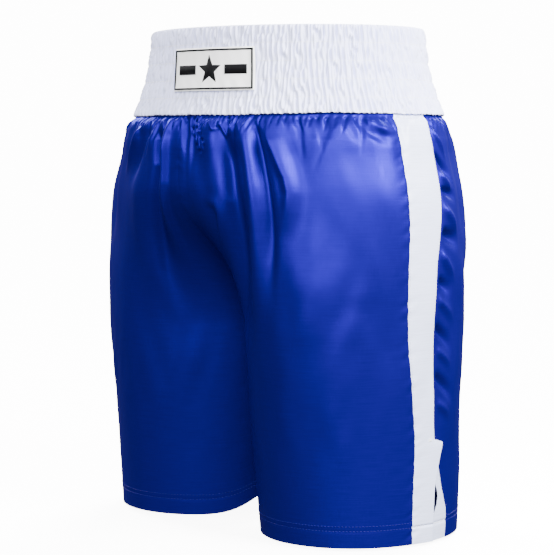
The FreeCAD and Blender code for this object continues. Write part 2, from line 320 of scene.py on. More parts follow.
def near_line(place, drop, points):
    """Signed distance to a line, and how far along it the nearest point lies, from 0 to 1."""
    line = smooth_line(points)
    middle = line[:, 0].mean()
    across = wrapped(place - middle) + middle
    best = np.full(np.shape(place), 1e3)
    signed, along = np.zeros_like(best), np.zeros_like(best)
    steps = len(line) - 1
    for i, ((ax, ay), (dx, dy)) in enumerate(zip(line, np.diff(line, axis=0))):
        px, py = across - ax, drop - ay
        t = np.clip((px * dx + py * dy) / (dx * dx + dy * dy), 0, 1)
        px, py = px - t * dx, py - t * dy
        distance = np.hypot(px, py)
        closer = distance < best
        best = np.where(closer, distance, best)
        signed = np.where(closer, np.sign(px * dy - py * dx) * distance, signed)
        along = np.where(closer, (i + t) / steps, along)
    return signed, along


FOLD_GROWS = (-0.02, 0.22)
FOLD_FADES = (0.55, 1.0)


def fold(place, drop, points, height, width, lean=0.0):
    """One soft ridge or hollow along a line, with one flank steeper than the other."""
    signed, along = near_line(place, drop, points)
    spread = width * MM * (0.8 + 0.4 * along) * np.where(signed > 0, 1 + lean, 1 - lean)
    fade = smooth(*FOLD_GROWS, along) * (1 - smooth(*FOLD_FADES, along))
    return height * MM * fade * bell(signed, spread)


# How much the rear creases are deepened, where they grow and fade, and their drop on the right
CREASE_RIDGE = 1.5
CREASE_HOLLOW = 2.4
CREASE_GROWS = (-0.05, 0.22)
CREASE_FADES = (0.4, 1.25)
RIGHT_CREASE_DROP = 9 * MM


def rear_creases(side, z, back):
    """Creases that run back and down from the seam behind the stripe."""
    total = np.zeros_like(z)
    drop = WAIST_Z - z - (0 if side > 0 else RIGHT_CREASE_DROP)
    for start, down, run, fall, height, width in REAR_CREASES:
        t = (back - start * MM) / (run * MM)
        line = down * MM + fall * MM * t
        fade = smooth(*CREASE_GROWS, t) * (1 - smooth(*CREASE_FADES, t))
        spread = width * MM * (0.7 + 0.5 * np.clip(t, 0, 1))
        size = (CREASE_RIDGE if height > 0 else CREASE_HOLLOW) * height * MM
        total += size * fade * bell(drop - line, spread)
    return total


# Ranges to draw from, in millimetres: length, depth and half width, but depth first for the
# small tucks at the seam
LONG_TUCK = ((22, 60), (2.6, 4.6), (3.0, 6.0))
SHORT_TUCK = ((9, 22), (2.0, 3.6), (2.0, 4.5))
SEAM_TUCK = ((2.6, 6.0), (7, 20), (1.8, 2.8))
PLEAT = ((30, 100), (0.8, 2.6), (4, 9))
LONG_SHARE = 0.35


def drawn(rng, ranges, lean):
    """Sizes drawn from ranges in millimetres, then a lean to either side."""
    return [rng.uniform(*span) * MM for span in ranges] + [rng.uniform(-lean, lean)]


def make_tucks(seed):
    """Small hollows where the satin is gathered into the waist seam."""
    rng = np.random.default_rng(seed)
    tucks = []
    place = -HALF_ROUND
    while place < HALF_ROUND:
        ranges = LONG_TUCK if rng.random() < LONG_SHARE else SHORT_TUCK
        tucks.append((place, *drawn(rng, ranges, 0.4)))
        place += rng.uniform(6.0, 12.0) * MM
    place = -HALF_ROUND
    while place < HALF_ROUND:
        depth, length, width, lean = drawn(rng, SEAM_TUCK, 0.5)
        tucks.append((place, length, depth, width, lean))
        place += rng.uniform(5.0, 11.0) * MM
    return tucks


def make_pleats(seed):
    """Longer soft pleats between the tucks and the long folds."""
    rng = np.random.default_rng(seed)
    pleats = []
    place = -HALF_ROUND
    while place < HALF_ROUND:
        sign = 1 if rng.random() < 0.5 else -1
        length, height, width, lean = drawn(rng, PLEAT, 0.18)
        pleats.append((place, length, sign * height, width, lean))
        place += rng.uniform(12, 24) * MM
    return pleats


TUCKS = make_tucks(11)
PLEATS = make_pleats(23)
SEAM_PUCKER = {name: Waves(seed, 0.011) for name, seed in (("front", 3), ("stripe", 5))}
DRAPES = Waves(31, 0.075)
SWAY = Waves(37, 0.30)
SLACK = [Waves(41, 0.030), Waves(43, 0.11)]


# The roll of full cloth under the waist seam and the hollow below the roll
ROLL_HEIGHT = 3.0 * MM
ROLL_RISE = 8 * MM
ROLL_FADE = 60 * MM
HOLLOW_DEPTH = 4.5 * MM
HOLLOW_DROP = 36 * MM
HOLLOW_REACH = 32 * MM


def gathers(place, drop):
    """Fullness below the waist seam: a roll of cloth cut by tucks, then pleats."""
    below = np.maximum(drop, 0)
    total = ROLL_HEIGHT * (1 - np.exp(-below / ROLL_RISE)) * np.exp(-below / ROLL_FADE)
    hollow = smooth(0, 22 * MM, below) * bell(below - HOLLOW_DROP, HOLLOW_REACH)
    total -= HOLLOW_DEPTH * hollow
    opening = 0.6 + 0.4 * smooth(0, 4 * MM, below)
    for at, length, depth, width, lean in TUCKS:
        t = np.clip(drop / length, 0, 1)
        across = bell(wrapped(place - at - lean * drop), width * (1.15 - 0.75 * t), 2.2)
        total -= depth * opening * (1 - t) ** 1.2 * across
    for at, length, height, width, lean in PLEATS:
        t = np.clip(drop / length, 0, 1)
        across = bell(wrapped(place - at - lean * drop), width * (0.8 + 0.9 * t))
        total += height * smooth(0, 0.2, t) * (1 - t) ** 1.2 * across
    return total


# The even unrest of the cloth: broad drapes, small slack bumps and how far both wander
DRAPE_HEIGHT = 0.9 * MM
SLACK_HEIGHT = 0.22 * MM
SWAY_SIZE = 12 * MM
UNREST_GROWS = 60 * MM


def relief(side, u, z):
    """How far the cloth stands out from the bare surface, on one half of the garment."""
    place = side * u * HALF_ROUND
    drop = WAIST_Z - z
    total = gathers(place, drop)
    for shape in FOLDS:
        total += fold(place, drop, *shape)
    # the noise ends differently on the two halves, so it fades out where they meet at the back
    hips = smooth(0, UNREST_GROWS, drop) * smooth(0, UNREST_GROWS, HALF_ROUND - np.abs(place))
    bend = SWAY_SIZE * SWAY(z + 0.3 * place)
    drapes = DRAPE_HEIGHT * DRAPES(place + bend) * (0.5 + 0.5 * smooth(0.05, 0.25, z))
    slack = SLACK_HEIGHT * SLACK[0](place + 0.5 * bend) * SLACK[1](z - 0.2 * place)
    total += hips * (drapes + slack * smooth(HEM_Z, 0.12, z))
    # the folds calm down towards the inseam and towards the hem
    beside_inseam = smooth(0, 0.10, from_middle(u))
    rise = smooth(CROTCH_Z - 0.01, CROTCH_Z + 0.15, z)
    total = total * (beside_inseam * (1 - rise) + rise)
    total = total * (0.25 + 0.75 * smooth(0, 0.11, z))
    return total + seam_relief(side, u, z) - through(EASE, z)


def hem_rise(side, u, z):
    """How far the cloth is drawn up, most at the hem beside the inseam."""
    rise = LEG_RISE[side] + INSEAM_RISE * bell(from_middle(u), INSEAM_REACH)
    return rise * np.clip(1 - z / CROTCH_Z, 0, 1) ** 2


CENTRE_GROOVE = 0.15 * MM
CENTRE_GROOVE_WIDTH = 1.6 * MM
STRIPE_GROOVE = 0.8 * MM
STRIPE_GROOVE_WIDTH = 1.3 * MM
# How high the puckers beside the seams stand, and how far from the seam they reach
CENTRE_PUCKER = 0.15 * MM
STRIPE_PUCKER = 0.22 * MM
PUCKER_REACH = 9 * MM
# Bubbles of bunched cloth along the short fly seam
FLY_HEIGHT = 2.0 * MM
FLY_REACH = 7.5 * MM
FLY_BUBBLES = 4.5


def seam_relief(side, u, z):
    """Grooves at the seams, and the small puckers that stitching draws across them."""
    centre = from_middle(u)
    distance = (u - 0.5) * side_speed(z)
    front = distance - through(STRIPE_FRONT, z)
    back = distance - through(STRIPE_BACK, z)
    above_vent = smooth(VENT_Z - 2 * MM, VENT_Z + 5 * MM, z)
    stripe = bell(front, STRIPE_GROOVE_WIDTH) + bell(back, STRIPE_GROOVE_WIDTH) * above_vent
    pucker = CENTRE_PUCKER * SEAM_PUCKER["front"](z + 0.3 * centre) * bell(centre, PUCKER_REACH)
    middle = pucker - CENTRE_GROOVE * bell(centre, CENTRE_GROOVE_WIDTH)
    total = middle * smooth(CROTCH_Z, CROTCH_Z + 0.05, z) - STRIPE_GROOVE * stripe
    total += STRIPE_PUCKER * bell(front, PUCKER_REACH) * SEAM_PUCKER["stripe"](z - 0.4 * front)
    fly, along = near_line(side * u * HALF_ROUND, WAIST_Z - z, FLY_LINE)
    bubbles = np.sin(2 * PI * along * FLY_BUBBLES + 2.2 * np.sin(fly / (2.6 * MM)))
    total += FLY_HEIGHT * bell(fly, FLY_REACH, 4) * smooth(1.0, 0.9, along) * bubbles
    total += rear_creases(side, z, back) * smooth(0.06, 0.13, z)
    white = smooth(-2 * MM, 0, front) * smooth(2 * MM, 0, back)
    return total - (0.2 + 0.9 * white) * MM * bell(z - HEM_ROW_Z, 1.2 * MM)


# ---- meshes


def normals_of(points):
    """Outward normals of a grid of points whose rows climb and whose columns run with u."""
    n = np.cross(np.gradient(points, axis=1), np.gradient(points, axis=0))
    return n / np.maximum(np.linalg.norm(n, axis=-1, keepdims=True), 1e-12)


def add_object(name, data):
    obj = bpy.data.objects.new(name, data)
    bpy.context.collection.objects.link(obj)
    return obj


def new_mesh(name, points, faces, uv=None, sharp=()):
    mesh = bpy.data.meshes.new(name)
    mesh.from_pydata(points.reshape(-1, 3).tolist(), [], faces.tolist())
    mesh.update()
    if uv is not None:
        layer = mesh.uv_layers.new(name="cloth")
        corners = np.empty(len(mesh.loops), np.int32)
        mesh.loops.foreach_get("vertex_index", corners)
        layer.data.foreach_set("uv", uv.reshape(-1, 2)[corners].astype(np.float32).ravel())
    mesh.polygons.foreach_set("use_smooth", np.ones(len(mesh.polygons), bool))
    if len(sharp):
        wanted = set(map(tuple, np.sort(sharp, axis=1).tolist()))
        flags = np.array([tuple(sorted(e.vertices)) in wanted for e in mesh.edges])
        mesh.attributes.new("sharp_edge", "BOOLEAN", "EDGE").data.foreach_set("value", flags)
    return add_object(name, mesh)


def quads(rows, columns, flip=False, closed=False):
    """Faces of a grid of points; closed joins the last column to the first."""
    steps = columns if closed else columns - 1
    j, i = np.meshgrid(np.arange(rows - 1), np.arange(steps), indexing="ij")
    a = j * columns + i
    b = j * columns + (i + 1) % columns
    f = np.stack([a, b, b + columns, a + columns], -1).reshape(-1, 4)
    return f[:, ::-1] if flip else f


def cloth_shell(name, points, uv, thickness=SATIN_THICKNESS, flip=False):
    """Closed thin sheet of cloth whose outer face is the grid of points."""
    rows, columns = points.shape[:2]
    n = normals_of(points) * (-1 if flip else 1)
    inner = points - n * thickness
    count = rows * columns
    faces = [quads(rows, columns, flip), quads(rows, columns, not flip) + count]
    index = np.arange(count).reshape(rows, columns)
    sharp = []
    for rim in (index[0], index[:, -1], index[-1, ::-1], index[::-1, 0]):
        a, b = rim[:-1], rim[1:]
        f = np.stack([b, a, a + count, b + count], -1)
        faces.append(f[:, ::-1] if flip else f)
        edges = np.stack([a, b], -1)
        sharp += [edges, edges + count]
    both = np.concatenate([points, inner])
    uvs = np.concatenate([uv, uv])
    return new_mesh(name, both, np.concatenate(faces), uvs, np.concatenate(sharp))


def rows_from_hem(high, coarse=COARSE_ROW):
    """Heights of a grid's rows, closer together near the waist and near the hem."""
    z = [0.0]
    while z[-1] < high:
        near_waist = float(smooth(WAIST_Z - 0.12, WAIST_Z - 0.03, z[-1]))
        near_hem = 1 - float(smooth(0.030, 0.050, z[-1]))
        z.append(z[-1] + coarse + (FINE_ROW - coarse) * max(near_waist, near_hem))
    return np.array(z) * high / z[-1]


def cloth_points(side, u, z, lift=0.0, top_tuck=True):
    """The finished surface of the satin on one half, with an extra lift out of the cloth."""
    tuck = smooth(*DIVE, z) if top_tuck else 0 * z
    above = np.maximum(z - WAIST_Z, 0)
    out = relief(side, u, z) * (1 - FOLDS_LOST * tuck) - (DIVE_DEPTH + BAND_INSET) * tuck
    out = out - 0.8 * MM * smooth(0, 3 * MM, above) - BAND_SLOPE * above + lift
    shift = outward(u, z) * out[..., None]
    # the halves meet at the centre seams, so nothing moves sideways there above the crotch
    seam = smooth(0, 8 * MM, from_middle(u))
    shift[..., 0] *= 1 - (1 - seam) * smooth(CROTCH_Z - 6 * MM, CROTCH_Z + 2 * MM, z)
    p = skin(u, z) + shift
    p[..., 0] = np.maximum(p[..., 0], -0.1 * MM)
    p[..., 2] += hem_rise(side, u, z)
    return p * np.array([side, 1, 1]) + BAND_SHIFT * tuck[..., None]


def satin_patch(node, slot, side, left, right, z, columns, lift=0.0, flap=None, also=()):
    """Sheet of satin for a node, between two side edges that are functions of height."""
    a, b = left(z)[:, None], right(z)[:, None]
    u = a + (b - a) * np.linspace(0, 1, columns)[None, :]
    heights = np.repeat(z[:, None], columns, axis=1)
    uv = np.stack([u * HALF_ROUND, heights], -1)
    obj = cloth_shell(node + "_cloth", cloth_points(side, u, heights, lift), uv, flip=side < 0)
    return finish_piece(obj, slot, node, *also, flap=flap)


# ---- materials


def material(name, base, roughness, **sockets):
    """Principled material with given socket values."""
    m = bpy.data.materials.new(name)
    m.use_nodes = True
    shader = m.node_tree.nodes["Principled BSDF"]
    fill(m.node_tree, shader, Base_Color=(*base, 1), Roughness=roughness, **sockets)
    return m


def fill(tree, node, **values):
    """Gives a node's sockets plain values, or links from the outputs given as values."""
    for key, value in values.items():
        socket = key.replace("_", " ")
        if socket not in node.inputs:
            setattr(node, key, value)
        elif isinstance(value, bpy.types.NodeSocket):
            tree.links.new(value, node.inputs[socket])
        else:
            node.inputs[socket].default_value = value


def add_node(tree, kind, output=None, **values):
    """New node, or one of its outputs."""
    node = tree.nodes.new("ShaderNode" + kind)
    fill(tree, node, **values)
    return node.outputs[output] if output else node


WARP_SCALE = (1500, 70, 1)
WEFT_SCALE = (40, 900, 1)
WEAVE_SHADE = 0.86
WEAVE_ROUGHNESS = 0.06


def satin(name, base, roughness, anisotropic, tint, gloss, metallic):
    """Glossy satin: fine warp streaks, a barely raised weave and slight colour variation."""
    m = material(name, base, roughness, Anisotropic=anisotropic, Metallic=metallic)
    tree = m.node_tree
    uv = add_node(tree, "UVMap", "UV", uv_map="cloth")
    threads = []
    for scale in (WARP_SCALE, WEFT_SCALE):
        place = add_node(tree, "Mapping", "Vector", Vector=uv, Scale=scale)
        threads.append(add_node(tree, "TexNoise", "Fac", Vector=place, Scale=1.0, Detail=3.0))
    warp, weft = threads
    shade = add_node(tree, "MapRange", "Result", Value=weft, From_Min=0.3, From_Max=0.7)
    dark = (*(c * WEAVE_SHADE for c in base), 1)
    mix = add_node(tree, "Mix", data_type="RGBA")
    fill(tree, mix, Factor=shade, A=dark, B=(*base, 1))
    rough = add_node(tree, "MapRange", Value=warp, From_Min=0.25, From_Max=0.75)
    fill(tree, rough, To_Min=roughness - WEAVE_ROUGHNESS, To_Max=roughness + WEAVE_ROUGHNESS)
    weave = {"Strength": 0.35, "Distance": 0.15 * MM}
    normal = add_node(tree, "Bump", "Normal", Height=warp, **weave)
    normal = add_node(tree, "Bump", "Normal", Height=weft, Normal=normal, **weave)
    shader = tree.nodes["Principled BSDF"]
    fill(tree, shader, Base_Color=mix.outputs["Result"], Roughness=rough.outputs["Result"])
    fill(tree, shader, Normal=normal, Specular_Tint=(*tint, 1), Specular_IOR_Level=gloss)
    return m


def matte_cloth(name, base, roughness=0.75, scale=2200.0, strength=0.3, sheen=0.15, gloss=0.5):
    """Plain woven cloth or thread with a fine weave bump."""
    m = material(name, base, roughness, Specular_IOR_Level=gloss, Sheen_Weight=sheen)
    tree = m.node_tree
    place = add_node(tree, "TexCoord", "Object")
    noise = add_node(tree, "TexNoise", "Fac", Vector=place, Scale=scale, Detail=2.0)
    normal = add_node(tree, "Bump", "Normal", Height=noise, Strength=strength, Distance=0.2 * MM)
    fill(tree, tree.nodes["Principled BSDF"], Normal=normal)
    return m


MATERIALS = {
    "blue_satin": satin("blue_satin", (0.011, 0.0042, 0.172), 0.42, 0.4, (0.0, 0.02, 1.0), 0.2, 0.6),
    "white_satin": satin("white_satin", (0.68, 0.74, 1.0), 0.38, 0.3, (1, 1, 1), 0.5, 0.0),
    "white_band": matte_cloth("white_band", (0.68, 0.71, 1.0), 0.5, 1500.0, 0.25, 0.2),
    "elastic": matte_cloth("elastic", (0.80, 0.80, 0.77), 0.8, 900.0, 0.6),
    "white_thread": matte_cloth("white_thread", (0.84, 0.84, 0.88), 0.5, 3000.0, 0.3),
    "blue_thread": matte_cloth("blue_thread", (0.008, 0.006, 0.13), 0.6, 3000.0, 0.3, 0.0, 0.2),
    "overlocked_edge": matte_cloth("overlocked_edge", (0.008, 0.008, 0.14), 0.6, 1800.0, 0.5, 0.0, 0.2),
    "label_white": matte_cloth("label_white", (0.98, 0.98, 0.99), 0.7, 1300.0, 0.4),
    "label_black": matte_cloth("label_black", (0.004, 0.004, 0.005), 0.9, 1300.0, 0.5, 0.0, 0.1),
}


def finish_piece(obj, slot, *nodes, flap=None):
    """Gives a piece its material, hides the imported nodes it stands for and, unless it has a flap, hangs
    it on the garment's body.

    A piece beside a vent, with a flap (side, front or back), instead has its place baked into its mesh
    and hangs on no body.
    """
    obj.data.materials.append(MATERIALS[slot])
    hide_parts(*nodes)
    if flap:
        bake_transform(obj)
    else:
        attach(obj, ROOT)
    return obj


# ---- the satin body

INSEAM_U = 0.0006
# The panels of the two halves reach a hair past the seams they share, so no light shows through
PAST_SEAM = 0.0001

stripe_front = seam_edge(STRIPE_FRONT)
stripe_back = seam_edge(STRIPE_BACK)
back_flap_front = seam_edge(BACK_FLAP_EDGE)


def front_flap_edge(z):
    """Back edge of the stripe, stepping out at the top of the vent to the front flap's corner."""
    share = smooth(VENT_Z - 1.0 * MM, VENT_Z + 4.0 * MM, z)
    return side_u(through(FRONT_FLAP_EDGE, z) * (1 - share) + through(STRIPE_BACK, z) * share, z)


def line(value):
    """Side edge of a piece that keeps to one u."""
    return lambda z: np.full_like(z, value)


def build_satin():
    z = rows_from_hem(WAIST_Z + SATIN_ABOVE_WAIST)
    for name, side in SIDES.items():
        for half, left, right, flat in (
            ("front", line(-PAST_SEAM), stripe_front, (0.30, 0.44)),
            ("back", stripe_back, line(1 + PAST_SEAM), (0.31, 0.44)),
        ):
            node = f"{half}_panel_{name}"
            panel = satin_patch(node, "blue_satin", side, left, right, z, PANEL_COLUMNS)
        build_stripe(name, side, z)


# How far the front flap's free edge stands off the flap behind it
FLAP_LIFT = 1.5 * MM
BACK_FLAP_LIFT = -0.7 * MM
BACK_FLAP_COLUMNS = 16


def build_stripe(name, side, z):
    """White stripe that runs on below the vent's top as the front flap, and the flap behind it."""
    step = np.linspace(VENT_Z - 2.5 * MM, VENT_Z + 5.5 * MM, 13)
    groove = HEM_ROW_Z + np.linspace(-2, 2, 9) * MM
    rows = np.unique(np.concatenate([z, step, groove]))
    over = smooth(VENT_Z + 4 * MM, VENT_Z - 4 * MM, rows)[:, None]
    lift = over * np.linspace(0, 1, STRIPE_COLUMNS) ** 2 * FLAP_LIFT
    stripe = satin_patch(
        "side_stripe_" + name, "white_satin", side, stripe_front, front_flap_edge, rows,
        STRIPE_COLUMNS, lift, (name, "front"), ["vent_front_flap_" + name],
    )
    low = rows_from_hem(VENT_Z - 3 * MM, 1.8 * MM)
    flap = satin_patch(
        "vent_back_flap_" + name, "white_satin", side, back_flap_front, stripe_back, low,
        BACK_FLAP_COLUMNS, BACK_FLAP_LIFT, (name, "back"),
    )


# How far the hidden layers lie inside the satin's outer face
UNDER_HEM = -0.9 * MM
UNDER_SEAM = -0.7 * MM
UNDER_WAIST = -0.8 * MM
UNDER_BACK_FLAP = -1.6 * MM
HEM_ROWS = np.linspace(0.4 * MM, HEM_Z, 12)
HEM_COLUMNS = 120
FLAP_HEM_COLUMNS = 14
SEAM_COLUMNS = 5
WAIST_COLUMNS = 300


def build_inside():
    """Turned-up hems and overlocked seam allowances on the wrong side of the satin."""
    side_rows = np.linspace(VENT_Z + 10 * MM, WAIST_Z - 12 * MM, 200)
    leg_rows = np.linspace(HEM_Z + 2 * MM, CROTCH_Z - 8 * MM, 90)
    rise_rows = np.linspace(CROTCH_Z + 12 * MM, WAIST_Z - 12 * MM, 120)
    waist_rows = np.linspace(WAIST_Z - 10 * MM, WAIST_Z + 0.5 * MM, 10)
    first, last = line(INSEAM_U * 2), line(1 - INSEAM_U * 2)
    near, far = line(ALLOWANCE / HALF_ROUND), line(1 - ALLOWANCE / HALF_ROUND)
    before = seam_edge(STRIPE_FRONT, -ALLOWANCE)
    behind = seam_edge(STRIPE_BACK, ALLOWANCE)
    bound = "overlocked_edge"
    seam, hem = (SEAM_COLUMNS, UNDER_SEAM), (HEM_ROWS, HEM_COLUMNS, UNDER_HEM)
    for name, side in SIDES.items():
        for node, slot, *shape in (
            ("front_hem_", "blue_satin", first, stripe_front, *hem),
            ("back_hem_", "blue_satin", stripe_back, last, *hem),
            ("inseam_", bound, first, near, leg_rows, *seam),
            ("stripe_front_seam_", bound, before, stripe_front, side_rows, *seam),
            ("stripe_back_seam_", bound, stripe_back, behind, side_rows, *seam),
            ("waist_seam_allowance_", bound, first, last, waist_rows, WAIST_COLUMNS, UNDER_WAIST),
        ):
            satin_patch(node + name, slot, side, *shape)
        for half, left, right, lift in (
            ("front", stripe_front, front_flap_edge, UNDER_HEM),
            ("back", back_flap_front, stripe_back, UNDER_BACK_FLAP),
        ):
            node = f"vent_{half}_flap_hem_{name}"
            shape = (left, right, HEM_ROWS, FLAP_HEM_COLUMNS, lift)
            satin_patch(node, "white_satin", side, *shape, flap=(name, half))
    for node, left, right in (("centre_front_seam", first, near), ("centre_back_seam", far, last)):
        satin_patch(node, bound, 1, left, right, rise_rows, *seam)


# ---- the waistband

RIDGES = 163
RIDGE_HEIGHT = 1.7 * MM
TOP_ROLL = 1.2 * MM
BAND_COLUMNS = 1800
ROWS_PER_CHANNEL = 14
# Share of a ridge's height that is left in a row of stitching, and that the label presses flat
STITCHED_SHARE = 0.45
LABEL_PRESS = 0.65


def band_point(angle, z, out):
    """Point of the waistband; angle runs from the centre front towards the wearer's left."""
    a, b = half_sizes(BAND_SECTIONS, z)
    p = np.stack([a * np.sin(angle), -b * np.cos(angle), z + 0 * angle], -1)
    n = unit(np.stack([np.sin(angle) / a, -np.cos(angle) / b, 0 * angle], -1))
    return p + BAND_SHIFT + n * (np.asarray(out) - BAND_INSET)[..., None]


LABEL_LOW, LABEL_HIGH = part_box("front_label")
LABEL_LEAN = 0.15
# How far the label sits to the right and above its packed place, in the wearer's view
LABEL_NUDGE = (-2.8 * MM, 1.5 * MM)


def gather_height(angle, level):
    """Gathers of the casing, from -1 in a valley to 1 on a ridge, at a level of 0 to CHANNELS."""
    rng = np.random.default_rng(70)
    sway = np.zeros_like(angle)
    for turns in (2, 5, 9, 14, 23, 31, 44, 57, 71):
        rate = rng.uniform(-4.0, 4.0)
        size = rng.uniform(0.35, 0.75)
        start = rng.uniform(0, 2 * PI)
        sway += size * np.sin(turns * angle + rate * level + start)
    main = np.sin(RIDGES * angle + 1.5 * sway)
    second = np.sin((RIDGES + 29) * angle - 1.3 * sway + 0.9 * level)
    fine = np.sin((2 * RIDGES - 17) * angle + 2.0 * sway - 0.7 * level)
    return 0.72 * main + 0.38 * second + 0.2 * fine


def swell(level):
    """How full the casing is between its rows of stitching, from 0 to 1."""
    return np.sin(PI * (level % 1.0)) ** 0.55


def fullness(angle):
    """Height of the ridges, a little less at the left front where the band is drawn tight."""
    return RIDGE_HEIGHT * (1.25 - 0.25 * bell(angle - 0.45, 0.45))


def foot_rise(angle):
    """How far the band's foot wanders up from the waist seam."""
    left_front = bell(angle - 1.05, 0.55)
    return 0.5 * MM + 1.9 * MM * left_front + 0.5 * MM * np.sin(11 * angle + 1) * np.sin(5 * angle)


def within(low, high, x):
    """1 between two limits and 0 outside, with soft edges."""
    edge = 2 * MM
    return smooth(low - edge, low + edge, x) * smooth(high + edge, high - edge, x)


def flattened(angle, z):
    """Share of the casing's relief that is left, less under the label."""
    x = half_sizes(BAND_SECTIONS, z)[0] * np.sin(angle)
    inside = within(LABEL_LOW[0], LABEL_HIGH[0], x) * within(LABEL_LOW[2], LABEL_HIGH[2], z)
    return 1 - LABEL_PRESS * inside * (np.cos(angle) > 0)


def build_band():
    angle = np.linspace(0, 2 * PI, BAND_COLUMNS, endpoint=False)[None, :]
    level = np.linspace(0, CHANNELS, CHANNELS * ROWS_PER_CHANNEL + 1)[:, None]
    around = np.repeat(angle, len(level), axis=0)
    level = np.repeat(level, BAND_COLUMNS, axis=1)
    z = WAIST_Z + BAND_HEIGHT * level / CHANNELS
    puff = swell(level)
    size = fullness(around) * (STITCHED_SHARE + (1 - STITCHED_SHARE) * puff)
    foot_lip = 0.9 * MM * smooth(0.5, 0.12, level)
    out = 0.1 * MM * puff + foot_lip + size * gather_height(around, level)
    out = out * flattened(around, z)
    # the casing turns in under its foot, and over its top edge towards the lining
    scallop = 0.45 * MM * gather_height(angle, np.full_like(angle, 0.2))
    drops = np.clip(1 - level * 1.2, 0, 1) * (scallop + foot_rise(angle))
    points = band_point(around, z + drops, out)
    foot = band_point(angle, z[:1] + drops[:1] + 1.2 * MM, out[:1] - 1.6 * MM)
    roll = []
    for turn in (0.35, 0.8, 1.25, 1.57, 2.0, 2.5, 3.14):
        lift = TOTAL_HEIGHT - TOP_ROLL + TOP_ROLL * math.sin(turn)
        inward = out[-1:] - 1.5 * TOP_ROLL * (1 - math.cos(turn))
        roll.append(band_point(angle, np.full_like(angle, lift), inward))
    points[-1] = band_point(angle, z[-1:] - TOP_ROLL, out[-1:])[0]
    keep = z[:, 0] < TOTAL_HEIGHT - 2.2 * MM
    keep[-1] = True
    body = np.concatenate([foot, points[keep]] + roll)
    rows = len(body)
    u = np.repeat(angle * UV_RADIUS, rows, axis=0)
    v = np.repeat(np.linspace(0, 0.1, rows)[:, None], BAND_COLUMNS, axis=1)
    faces = quads(rows, BAND_COLUMNS, closed=True)
    casing = new_mesh("waistband_casing", body, faces, np.stack([u, v], -1))
    finish_piece(casing, "white_band", "waistband_outer")
    build_lining(around[::2, ::2], level[::2, ::2])


# Turns an angle round the waistband into a length of cloth
UV_RADIUS = 0.15
# How far the faces of the elastic and the lining lie inside the waistband's outer surface
ELASTIC_OUT = -2.85 * MM
LINING_OUT = -3.3 * MM
ELASTIC_COLUMNS = 360


def build_elastic():
    """Flat elastic in each channel, between the casing and the lining."""
    angle = np.linspace(0, 2 * PI, ELASTIC_COLUMNS, endpoint=False)[None, :]
    outer, inner = np.full_like(angle, ELASTIC_OUT), np.full_like(angle, LINING_OUT)
    for i in range(1, CHANNELS + 1):
        node = "waist_elastic_%d" % i
        low, high = (np.full_like(angle, corner[2]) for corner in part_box(node))
        ring = ((low, inner), (low, outer), (high, outer), (high, inner), (low, inner))
        points = np.concatenate([band_point(angle, z, out) for z, out in ring])
        faces = quads(len(ring), ELASTIC_COLUMNS, closed=True)
        finish_piece(new_mesh(node + "_strip", points, faces), "elastic", node)


def build_lining(angle, level):
    """Inner face of the waistband, gathered by the same rows of stitching."""
    z = WAIST_Z + 0.5 * MM + (BAND_HEIGHT - 1.5 * MM) * level / CHANNELS
    puff = swell(level)
    gathered = 0.35 * MM * (0.5 + 0.5 * puff) * gather_height(angle, level)
    points = band_point(angle, z, LINING_OUT - 0.7 * MM * puff - gathered)
    faces = quads(*angle.shape, flip=True, closed=True)
    uv = np.stack([angle * UV_RADIUS, z], -1)
    obj = new_mesh("waistband_lining_cloth", points, faces, uv)
    finish_piece(obj, "white_band", "waistband_lining")


# ---- stitches


# Length, gap and radius of the stitches in each kind of row
HEM_STITCH = (2.6 * MM, 0.9 * MM, 0.28 * MM)
VENT_STITCH = (2.2 * MM, 0.5 * MM, 0.32 * MM)
STRIPE_STITCH = (2.4 * MM, 0.8 * MM, 0.2 * MM)
BAR_TACK_STITCH = (5.5 * MM, 0.3 * MM, 0.32 * MM)
BAND_STITCH = (2.6 * MM, 0.8 * MM, 0.26 * MM)
FOOT_STITCH = (2.6 * MM, 0.8 * MM, 0.24 * MM)
# Rings of one stitch: their places along it, and their heights and radii in radii of the thread
RING_PLACES = np.array([0, 0.18, 0.5, 0.82, 1.0])
RING_HEIGHTS = np.array([-0.9, 0.15, 0.45, 0.15, -0.9])[:, None]
RING_RADII = np.array([0.35, 0.9, 1.0, 0.9, 0.35])[:, None, None]
RING_TURNS = PI / 3 * np.arange(6)[:, None]
STITCH_ENDS = np.array([(3, 2, 1, 0), (0, 5, 4, 3), (24, 25, 26, 27), (27, 28, 29, 24)])
STITCH_FACES = np.concatenate([quads(5, 6, closed=True), STITCH_ENDS])


def stitches(name, node, paths, sizes, slot="white_thread", flap=None):
    """Rows of short rounded stitches along paths of points with outward normals."""
    length, gap, radius = sizes
    rings = []
    for points, normals in paths:
        along = run_along(points)
        for start in np.arange(0, along[-1] - length, length + gap):
            places = start + length * RING_PLACES
            centre, n = (
                np.stack([np.interp(places, along, values[:, k]) for k in range(3)], -1)
                for values in (points, normals)
            )
            n = unit(n)
            across = np.cross(unit(centre[-1] - centre[0]), n)[:, None]
            round_ring = np.cos(RING_TURNS) * across + np.sin(RING_TURNS) * n[:, None]
            centre = centre + n * radius * RING_HEIGHTS
            rings.append(centre[:, None] + radius * RING_RADII * round_ring)
    firsts = np.arange(len(rings))[:, None, None] * rings[0][..., 0].size
    obj = new_mesh(name, np.array(rings), (firsts + STITCH_FACES).reshape(-1, 4))
    finish_piece(obj, slot, node, flap=flap)


def cloth_path(side, u, z, lift):
    points = cloth_points(side, u, z, lift, top_tuck=False)
    return points, outward(u, z) * np.array([side, 1, 1])


